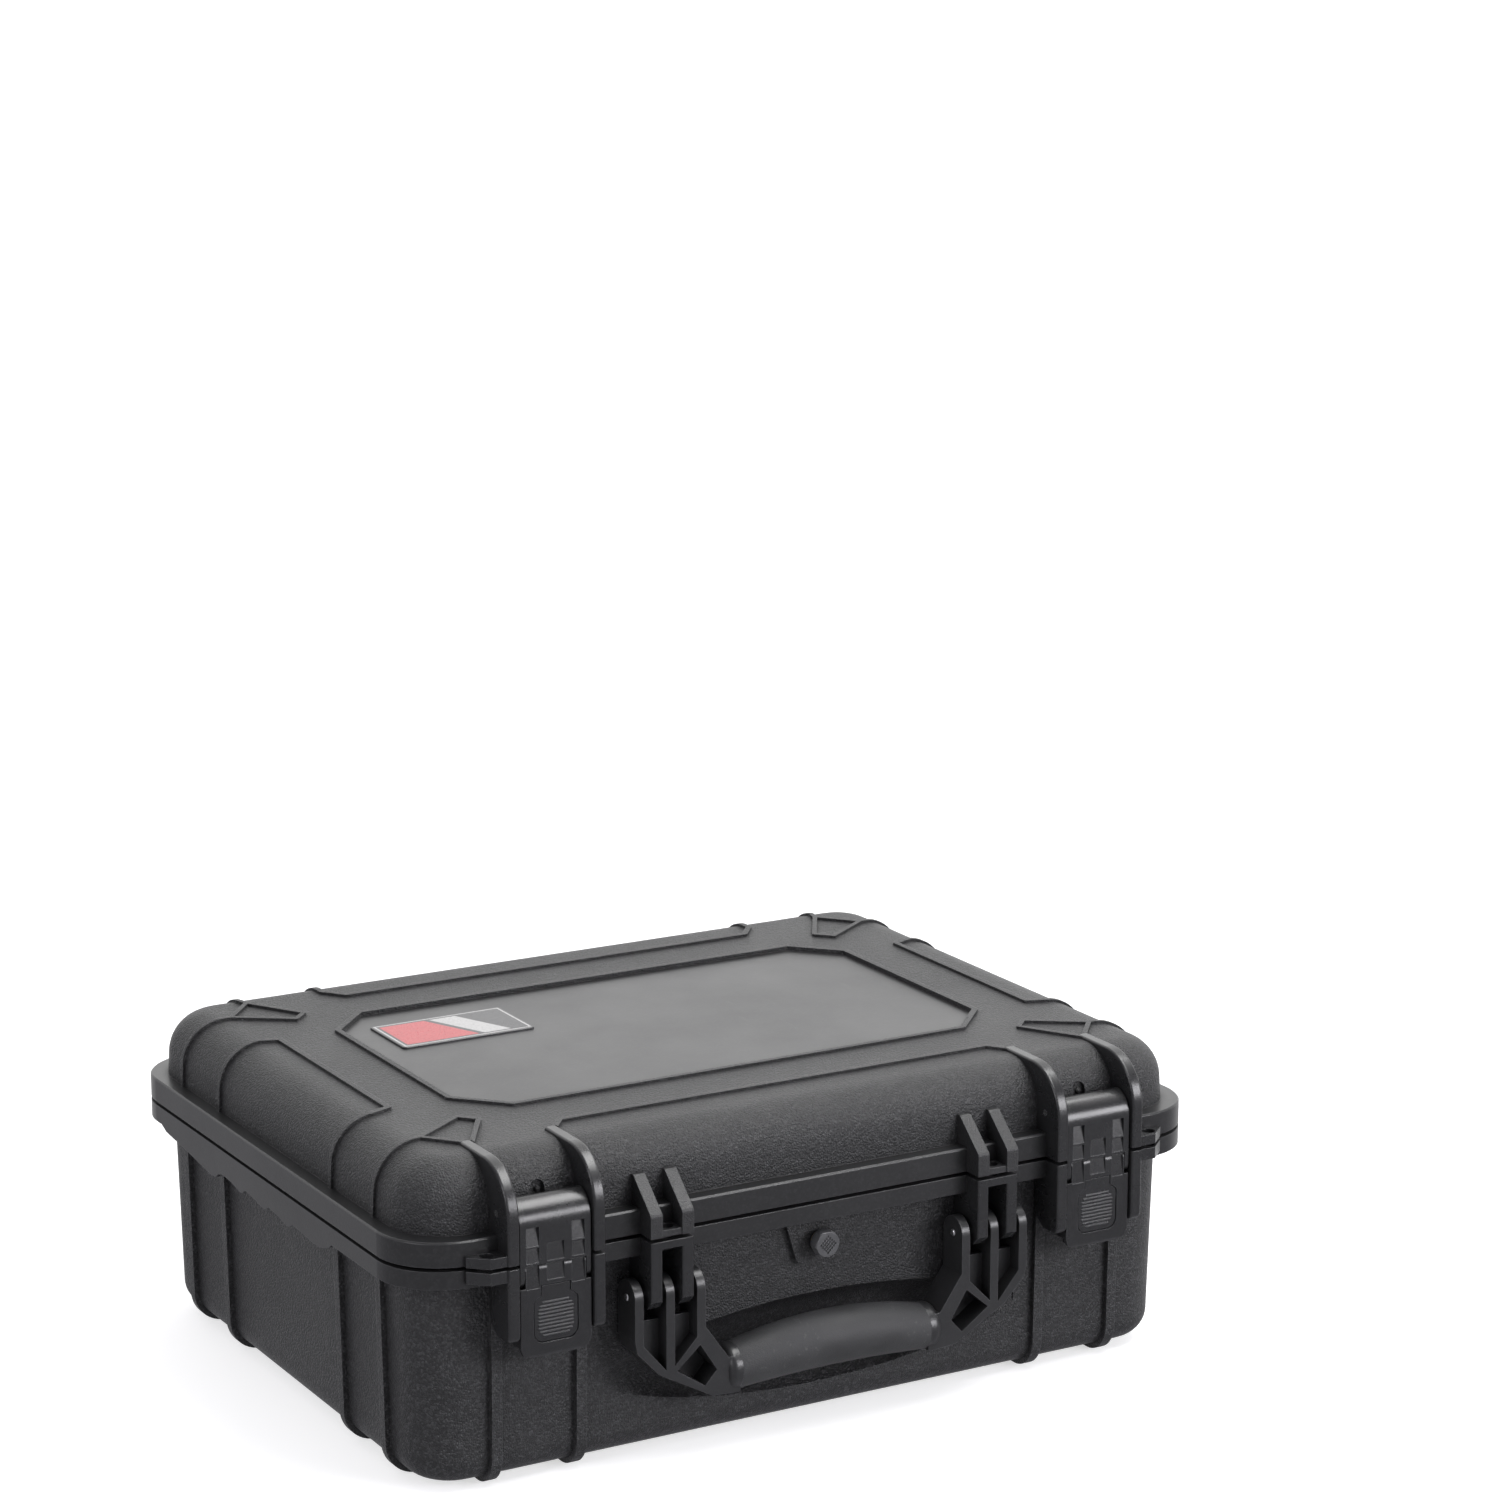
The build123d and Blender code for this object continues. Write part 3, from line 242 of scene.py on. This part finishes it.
def smoothMask(t, coords, zones):
    lidLow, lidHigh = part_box("lid_shell")
    low, high = lidLow.z - zones["flangeDown"], lidLow.z + zones["flangeUp"]
    fade = zones["fade"]
    x, y, z = t.xyz(coords)
    across, along = t.math("ABSOLUTE", x), t.math("ABSOLUTE", y)
    underTop = t.ramp(z, high + fade, high)
    band = t.product(t.ramp(z, low - fade, low), underTop)
    corner = t.math("ADD", t.math("MULTIPLY", across, zones["cornerSlope"][0]),
                    t.math("MULTIPLY", along, zones["cornerSlope"][1]))
    level = lidHigh.z - zones["panelDrop"]
    panel = t.product(t.ramp(across, zones["panelX"] + zones["panelFade"], zones["panelX"]),
                      t.ramp(along, zones["panelY"] + zones["panelFade"], zones["panelY"]),
                      t.ramp(z, level - 0.0005, level - 0.0003),
                      t.ramp(corner, zones["panelCorner"] + fade, zones["panelCorner"]))
    side, hem = -lidLow.x - zones["apronInset"], low - zones["apronDown"]
    apron = t.product(t.ramp(across, side - fade, side), t.ramp(z, hem - zones["apronFade"], hem))
    return t.math("MAXIMUM", t.math("MAXIMUM", band, panel), t.math("MINIMUM", apron, underTop))


def mouldedPlastic(name, settings):
    material, t, shader, coords = newMaterial(name)
    edges = useGroup(t, edgeGroup, Radius=settings["edgeRadius"] * mm)
    pebbles = useGroup(t, pebbleGroup, Vector=coords, Size=settings["grainSize"])
    marks = useGroup(t, marksGroup, Vector=coords, Size=settings["cloudSize"])
    cloud = marks["Cloud"]
    base = settings["color"]
    dark, pale = grey(base, coolTint), grey(base * settings["cloudGain"], coolTint)
    # paler colour used for worn edges, for painted edge highlights and for painted glints on the
    # grain
    wearAndHighlight = grey(settings["edgeColor"], coolTint)
    grain = settings["grain"]
    speck = t.math("MULTIPLY", pebbles["Speck"], settings["speck"])
    rough = t.ramp(cloud, 0.0, 1.0, settings["roughness"] - 0.03, settings["roughness"] + 0.04)
    if settings.get("smoothShare"):
        smooth = smoothMask(t, coords, smoothZones)
        grain = t.product(t.ramp(smooth, 0.0, 1.0, 1.0, 1.0 - settings["smoothShare"]), grain)
        speck = t.math("MULTIPLY", speck, t.ramp(smooth, 0.0, 1.0, 1.0, 0.25))
        rough = t.math("ADD", rough, t.ramp(smooth, 0.0, 1.0, settings["grainHaze"], 0.0))
    unevenWearAndHighlight = t.ramp(cloud, 0.1, 0.9, 0.35, settings["edgeWearAndHighlight"])
    edgeMask = t.math("MULTIPLY", edges["Edge"], unevenWearAndHighlight, True)
    # random pebbles lightened towards the paler edge colour: painted glints of the grain, fewer on
    # the smooth zones
    color = t.mix(speck, t.mix(cloud, dark, pale), wearAndHighlight)
    # convex edges lightened: partly real wear, partly painted edge highlight
    color = t.mix(edgeMask, color, wearAndHighlight)
    # corners, grooves and the wall just under raised parts darkened from the occlusion mask:
    # painted shade
    color = t.mix(t.math("MULTIPLY", edges["Cavity"], 0.8), color, grey(base * 0.25))
    t.link(color, shader.inputs["Base Color"])
    rough = t.math("SUBTRACT", rough, t.product(edges["Edge"], settings["edgeShine"]), True)
    rough = t.math("SUBTRACT", rough, t.product(marks["Scuff"], settings["scuffShine"]), True)
    rough = t.math("ADD", rough, t.product(edges["Cavity"], 0.3), True)
    t.link(rough, shader.inputs["Roughness"])
    t.bump(shader, pebbles["Height"], grain, settings["grainDepth"] * mm, edges["Normal"])
    shader.inputs["Specular IOR Level"].default_value = settings["specular"]
    return material


print("shader groups ready")

shellSettings = {
    "color": 0.0075, "cloudGain": 1.25, "edgeColor": 0.085, "edgeWearAndHighlight": 0.9, "edgeShine": 0.12,
    "speck": 0.30,
    "roughness": 0.36, "scuffShine": 0.02, "grain": 1.0, "grainSize": 1.15, "grainDepth": 0.60,
    "cloudSize": 70.0, "edgeRadius": 0.6, "specular": 0.5, "smoothShare": 0.95, "grainHaze": 0.14,
}
latchSettings = {
    "color": 0.0095, "cloudGain": 1.2, "edgeColor": 0.08, "edgeWearAndHighlight": 0.9, "edgeShine": 0.06,
    "speck": 0.05,
    "roughness": 0.25, "scuffShine": 0.05, "grain": 0.12, "grainSize": 0.9, "grainDepth": 0.12,
    "cloudSize": 25.0, "edgeRadius": 0.5, "specular": 0.5,
}
guardSettings = dict(latchSettings, roughness=0.27, grain=0.16, edgeRadius=0.6)
finSettings = dict(guardSettings, roughness=0.46, grain=0.5, grainDepth=0.3, edgeShine=0.2)
handleSettings = dict(latchSettings, roughness=0.33, grain=0.22, edgeRadius=0.6, color=0.0115)
shellPlastic = mouldedPlastic("grainedPlastic", shellSettings)
latchPlastic = mouldedPlastic("latchPlastic", latchSettings)
guardPlastic = mouldedPlastic("guardPlastic", guardSettings)
finPlastic = mouldedPlastic("finPlastic", finSettings)
handlePlastic = mouldedPlastic("handlePlastic", handleSettings)

gripSettings = {
    "color": 0.0145, "pale": 0.026, "scuffed": 0.045, "roughness": 0.62,
    "grainSize": 0.8, "marksSize": 22.0,
}
foamSettings = {"dark": 0.060, "pale": 0.105, "speck": 0.26, "pore": 0.018, "cell": 0.9}
warmTints = ((1.03, 1.0, 0.99), (1.03, 1.0, 0.98))


def softRubber(settings):
    material, t, shader, coords = newMaterial("gripRubber")
    pebbles = useGroup(t, pebbleGroup, Vector=coords, Size=settings["grainSize"])
    marks = useGroup(t, marksGroup, Vector=coords, Size=settings["marksSize"])
    cloud, rough = marks["Cloud"], settings["roughness"]
    color = t.mix(cloud, grey(settings["color"], coolTint), grey(settings["pale"], coolTint))
    t.link(t.mix(marks["Scuff"], color, grey(settings["scuffed"])), shader.inputs["Base Color"])
    rough = t.ramp(cloud, 0.0, 1.0, rough - 0.06, rough + 0.1)
    t.link(rough, shader.inputs["Roughness"])
    t.bump(shader, pebbles["Height"], 0.45, 0.18 * mm)
    return material


def turnedMetal(name, color, roughness):  # fine lines round the pins' X axis
    material, t, shader, coords = newMaterial(name)
    marks = useGroup(t, marksGroup, Vector=coords, Size=6.0)
    turned = t.add("ShaderNodeMapping", {"Vector": coords, "Scale": (0.12, 1.0, 1.0)}).outputs[0]
    lines = t.noise(turned, 2600.0, 2.0, 0.6)
    dull = tuple(channel * 0.75 for channel in color[:3]) + (1.0,)
    t.link(t.mix(marks["Cloud"], color, dull), shader.inputs["Base Color"])
    t.link(t.ramp(lines, 0.3, 0.7, roughness, roughness + 0.15), shader.inputs["Roughness"])
    t.bump(shader, lines, 0.2, 0.05 * mm)
    shader.inputs["Metallic"].default_value = 1.0
    return material


def sealRubber():
    material, t, shader, coords = newMaterial("sealRubber")
    cloud = useGroup(t, marksGroup, Vector=coords, Size=15.0)["Cloud"]
    t.link(t.mix(cloud, grey(0.006), grey(0.012)), shader.inputs["Base Color"])
    t.link(t.ramp(cloud, 0.0, 1.0, 0.34, 0.48), shader.inputs["Roughness"])
    t.bump(shader, t.noise(coords, 900.0), 0.15, 0.1 * mm)
    return material


def foamMaterial(settings):
    material, t, shader, coords = newMaterial("openCellFoam")
    scale = 1000.0 / settings["cell"]
    cells = t.add("ShaderNodeTexVoronoi", {"Vector": coords, "Scale": scale * 0.8}, feature="F1")
    toPore = cells.outputs["Distance"]
    fine = t.noise(coords, scale * 1.6, 3.0, 0.7)
    slow = t.noise(coords, 14.0, 3.0, 0.55)
    dark, pale = (grey(settings[shade], tint) for shade, tint in zip(("dark", "pale"), warmTints))
    color = t.mix(t.ramp(fine, 0.35, 0.68), dark, pale)
    color = t.mix(t.math("MULTIPLY", t.ramp(slow, 0.35, 0.7), 0.35), color, grey(settings["pale"]))
    color = t.mix(t.ramp(fine, 0.70, 0.76), color, grey(settings["speck"]))
    color = t.mix(t.ramp(toPore, 0.16, 0.04), color, grey(settings["pore"]))
    t.link(color, shader.inputs["Base Color"])
    t.link(t.ramp(fine, 0.3, 0.7, 0.86, 0.98), shader.inputs["Roughness"])
    t.bump(shader, t.math("ADD", t.math("MULTIPLY", toPore, 0.8), fine), 0.8, 0.5 * mm)
    shader.inputs["Specular IOR Level"].default_value = 0.15
    shader.inputs["Sheen Weight"].default_value = 0.25
    shader.inputs["Sheen Roughness"].default_value = 0.5
    return material


gripRubber = softRubber(gripSettings)
pinSteel = turnedMetal("pinSteel", (0.80, 0.80, 0.81, 1.0), 0.2)
nutBrass = turnedMetal("nutBrass", (0.60, 0.44, 0.20, 1.0), 0.30)
gasketRubber = sealRubber()
openCellFoam = foamMaterial(foamSettings)
valveSettings = dict(latchSettings, color=0.042, edgeColor=0.24, roughness=0.34, edgeRadius=0.25,
                     grain=0.25, cloudSize=5.0)
valveGrey = mouldedPlastic("valveGrey", valveSettings)

badgeSettings = {  # metres: border, frame line and slanted band
    "border": 0.0016, "rim": 0.0011, "rimFade": 0.0003, "field": 0.0012, "redShare": 0.62,
    "slant": 0.45, "bandGap": 0.0030, "bandWidth": 0.0160, "bandFade": 0.0004,
    "red": (0.38, 0.022, 0.028, 1.0), "cream": (0.36, 0.355, 0.35, 1.0),
    "black": (0.02, 0.02, 0.022, 1.0),
}


def badgePrint(settings):
    material, t, shader, coords = newMaterial("badgePrint")
    low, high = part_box("name_badge")
    middle, half = (low + high) / 2, (high - low) / 2
    x, y = t.xyz(coords)[:2]
    across = t.math("ABSOLUTE", t.math("SUBTRACT", x, middle.x))
    along = t.math("ABSOLUTE", t.math("SUBTRACT", y, middle.y))
    toSide, toEnd = t.math("SUBTRACT", half.x, across), t.math("SUBTRACT", half.y, along)
    toEdge = t.math("MINIMUM", toSide, toEnd)
    border, fade, band = settings["border"], settings["rimFade"], settings["bandFade"]
    rimEnd = border + settings["rim"]
    fieldStart = rimEnd + settings["field"]
    frameLine = t.product(t.ramp(toEdge, border - fade, border),
                          t.ramp(toEdge, rimEnd, rimEnd - fade))
    field = t.ramp(toEdge, fieldStart, fieldStart + fade)
    lean = t.math("MULTIPLY", t.math("SUBTRACT", y, low.y), settings["slant"])
    slant = t.math("ADD", t.math("SUBTRACT", x, low.x), lean)
    cut = (high.x - low.x) * settings["redShare"]
    bandStart = cut + settings["bandGap"]
    bandEnd = bandStart + settings["bandWidth"]
    redPart = t.product(field, t.ramp(slant, cut + band / 2, cut - band / 2))
    creamPart = t.product(field, t.ramp(slant, bandStart, bandStart + band),
                          t.ramp(slant, bandEnd, bandEnd - band))
    weave = t.noise(coords, 1400.0, 2.0, 0.5)
    color = t.mix(redPart, settings["black"], settings["red"])
    color = t.mix(creamPart, color, settings["cream"])
    color = t.mix(frameLine, color, settings["cream"])
    color = t.mix(t.math("MULTIPLY", t.ramp(weave, 0.4, 0.7), 0.35), color, settings["black"])
    t.link(color, shader.inputs["Base Color"])
    t.link(t.ramp(weave, 0.3, 0.7, 0.26, 0.38), shader.inputs["Roughness"])
    t.bump(shader, t.math("ADD", frameLine, t.math("MULTIPLY", field, 0.5)), 0.5, 0.15 * mm)
    return material


badgeFace = badgePrint(badgeSettings)

finishes = {
    "shell": shellPlastic, "latch": latchPlastic, "tongue": latchPlastic, "handle": handlePlastic,
    "grip": gripRubber, "seal": gasketRubber, "foam": openCellFoam, "badge": badgeFace,
    "valve": valveGrey, "valve_metal": nutBrass, "steel": pinSteel, "spring": pinSteel,
}
smoothParts = {
    "lid_tabs": finPlastic, "handle_posts": guardPlastic,
    "base_latch_guards": guardPlastic, "lid_latch_guards": guardPlastic,
    "base_padlock_lugs": guardPlastic, "lid_padlock_lugs": guardPlastic,
    "base_hinge_knuckles": guardPlastic, "lid_hinge_knuckles": guardPlastic,
}
for entry in frame["record"]["subparts"]:
    node = nodes[entry["node"]]
    node.data.materials.clear()
    finish = smoothParts.get(entry["node"]) or finishes[entry["material_slot"]]
    node.data.materials.append(finish)
print("materials placed on", len(nodes), "nodes")


lidFoamSettings = {  # millimetres
    "voxel": 3.2, "pitchX": 38.5, "pitchY": 36.5, "depth": 12.5, "wavyPart": 12.0,
    "unevenness": 0.5,
}
baseFoamSettings = {"voxel": 4.0, "unevenness": 0.45, "softness": 3}


def remeshed(nodeName, pieceName, voxel, softness):
    piece = copyOfNode(nodeName, pieceName)
    applyModifier(piece, "REMESH", mode="VOXEL", voxel_size=voxel * mm)
    applyModifier(piece, "SMOOTH", factor=0.5, iterations=softness)
    return piece


def roughen(piece, amount, size):
    normals = [vertex.normal.copy() for vertex in piece.data.vertices]
    for vertex, normal in zip(piece.data.vertices, normals):
        vertex.co += normal * noise.noise(vertex.co / (size * mm)) * amount * mm


def makeLidFoam(settings):  # convoluted pad: staggered crests on the side that faces the gear
    piece = remeshed("lid_foam", "lidFoamPad", settings["voxel"], 2)
    low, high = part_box("lid_foam")
    stepX, stepY = settings["pitchX"] * mm, settings["pitchY"] * mm
    wavyPart = settings["wavyPart"] * mm
    for vertex in piece.data.vertices:
        facing = max(0.0, min(1.0, (low.z + wavyPart - vertex.co.z) / wavyPart))
        wave = math.cos(math.tau * vertex.co.x / stepX) * math.cos(math.tau * vertex.co.y / stepY)
        vertex.co.z += facing * settings["depth"] * mm * (0.5 - 0.5 * wave)
    roughen(piece, settings["unevenness"], 14)
    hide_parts("lid_foam")
    return finishPiece(piece, "lid", openCellFoam, 60)


def makeBaseFoam(nodeName, pieceName, settings):
    piece = remeshed(nodeName, pieceName, settings["voxel"], settings["softness"])
    roughen(piece, settings["unevenness"], 30)
    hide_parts(nodeName)
    return finishPiece(piece, "base", openCellFoam, 60)


makeLidFoam(lidFoamSettings)
makeBaseFoam("base_foam_block", "baseFoamPad", baseFoamSettings)
makeBaseFoam("base_foam_floor", "baseFoamFloorPad", baseFoamSettings)
print("foam pads made")

studio = {
    "floorSize": 80.0, "floorColor": (0.6, 0.6, 0.605, 1.0), "floorGlow": 0.62,
    "skyBack": (1.0, 1.0, 1.0, 1.0), "skyFront": (0.225, 0.222, 0.24, 1.0), "skyStrength": 1.7,
    "skyAim": (0.50, 0.73, 0.465), "skyFade": (0.22, 0.93),
    "lens": 99.2, "camera": (-1.0225, -1.8806, 0.8083), "aimBack": (-0.4852, -0.8457, 0.2223),
}
coolLight = (0.97, 0.96, 1.0)
softboxes = {  # place, target, size, watts, colour
    "topSoftbox": ((0.55, -0.40, 1.6), (0, -0.1, 0.1), (1.5, 0.5), 24.0, (1.0, 1.0, 1.0)),
    "leftSoftbox": ((-1.6, -0.6, 0.9), (0, -0.1, 0.1), (0.8, 0.9), 10.0, coolLight),
    "frontSoftbox": ((1.15, -1.95, 0.78), (0.1, -0.1, 0.1), (1.1, 0.75), 34.0, coolLight),
}


def makeFloor(settings):
    clearSelection()
    bpy.ops.mesh.primitive_plane_add(size=settings["floorSize"], location=(0, 0, -0.0002))
    floor = bpy.context.object
    floor.name = "studioFloor"
    material, t, shader, coords = newMaterial("paperFloor")
    shader.inputs["Base Color"].default_value = settings["floorColor"]
    shader.inputs["Roughness"].default_value = 0.9
    shader.inputs["Specular IOR Level"].default_value = 0.1
    shader.inputs["Emission Color"].default_value = (1, 1, 1, 1)
    shader.inputs["Emission Strength"].default_value = settings["floorGlow"]
    floor.data.materials.append(material)
    floor.visible_glossy = False


def makeWorld(settings):
    world = bpy.data.worlds.new("studioSky")
    bpy.context.scene.world = world
    world.use_nodes = True
    world.node_tree.nodes.clear()
    t = Tree(world.node_tree)
    direction = t.add("ShaderNodeTexCoord").outputs["Generated"]
    toBack = t.ramp(t.dot(direction, settings["skyAim"]), *settings["skyFade"])
    color = t.mix(toBack, settings["skyFront"], settings["skyBack"])
    lit = t.add("ShaderNodeBackground", {"Color": color, "Strength": settings["skyStrength"]})
    seen = t.add("ShaderNodeBackground", {"Color": settings["skyBack"], "Strength": 1.0})
    rays = t.add("ShaderNodeLightPath")
    mixed = t.add("ShaderNodeMixShader",
                  {0: rays.outputs["Is Camera Ray"], 1: lit.outputs[0], 2: seen.outputs[0]})
    t.add("ShaderNodeOutputWorld", {"Surface": mixed.outputs[0]})


def softLight(name, place, target, size, power, color):
    light = bpy.data.lights.new(name, "AREA")
    light.shape, light.size, light.size_y, light.energy = "RECTANGLE", size[0], size[1], power
    light.color = color
    lamp = bpy.data.objects.new(name, light)
    bpy.context.scene.collection.objects.link(lamp)
    lamp.location = place
    lamp.rotation_euler = (Vector(target) - Vector(place)).to_track_quat("-Z", "Y").to_euler()
    return lamp


def makeCamera(settings):
    camera = bpy.data.objects.new("studioCamera", bpy.data.cameras.new("studioCamera"))
    bpy.context.scene.collection.objects.link(camera)
    camera.data.lens, camera.data.sensor_width = settings["lens"], 36.0
    camera.data.clip_start, camera.data.clip_end = 0.05, 50.0
    camera.location = settings["camera"]
    camera.rotation_euler = (-Vector(settings["aimBack"])).to_track_quat("-Z", "Y").to_euler()
    bpy.context.scene.camera = camera


makeFloor(studio)
makeWorld(studio)
for name, values in softboxes.items():
    softLight(name, *values)
makeCamera(studio)
bpy.context.scene.view_settings.view_transform = "Standard"
print("studio ready")
